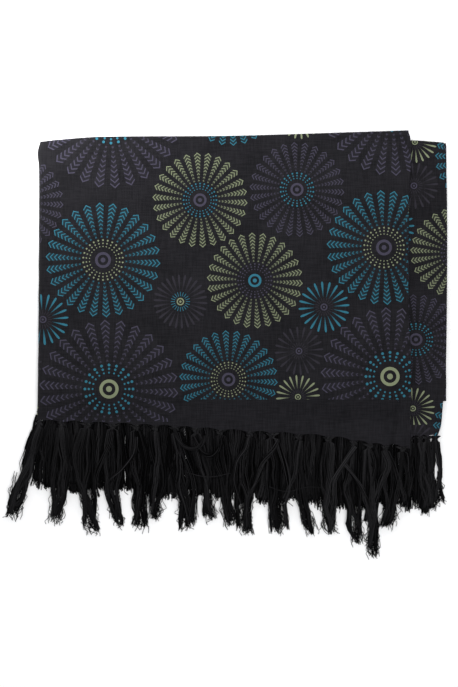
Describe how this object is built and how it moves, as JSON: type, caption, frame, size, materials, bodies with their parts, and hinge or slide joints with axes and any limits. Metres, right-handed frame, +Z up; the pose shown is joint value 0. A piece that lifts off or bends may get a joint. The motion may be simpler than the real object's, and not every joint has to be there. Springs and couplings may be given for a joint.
{
  "type": "folded long scarf",
  "caption": "Long printed cotton scarf with knotted fringe, folded flat into a square pack that rests on a surface.",
  "frame": {"origin": "on the surface the scarf lies on, under the middle of its bounding box", "axes": "+X right from the folded edge towards the stacked selvedges, +Y away from the fringe towards the top folds, +Z up"},
  "size_m": [0.446, 0.429, 0.0123],
  "materials": {
    "printed_cotton": "matt black cotton printed with purple, teal and lime rosettes",
    "cotton_layers": "matt black cotton, folded edges",
    "fringe_yarn": "soft black cotton yarn"
  },
  "bodies": {
    "root": {"front_panel": "printed_cotton", "side_panel": "printed_cotton", "under_panel": "printed_cotton", "hidden_layers": "cotton_layers", "front_fringe": "fringe_yarn", "side_fringe": "fringe_yarn", "back_fringe": "fringe_yarn"}
  },
  "joints": []
}
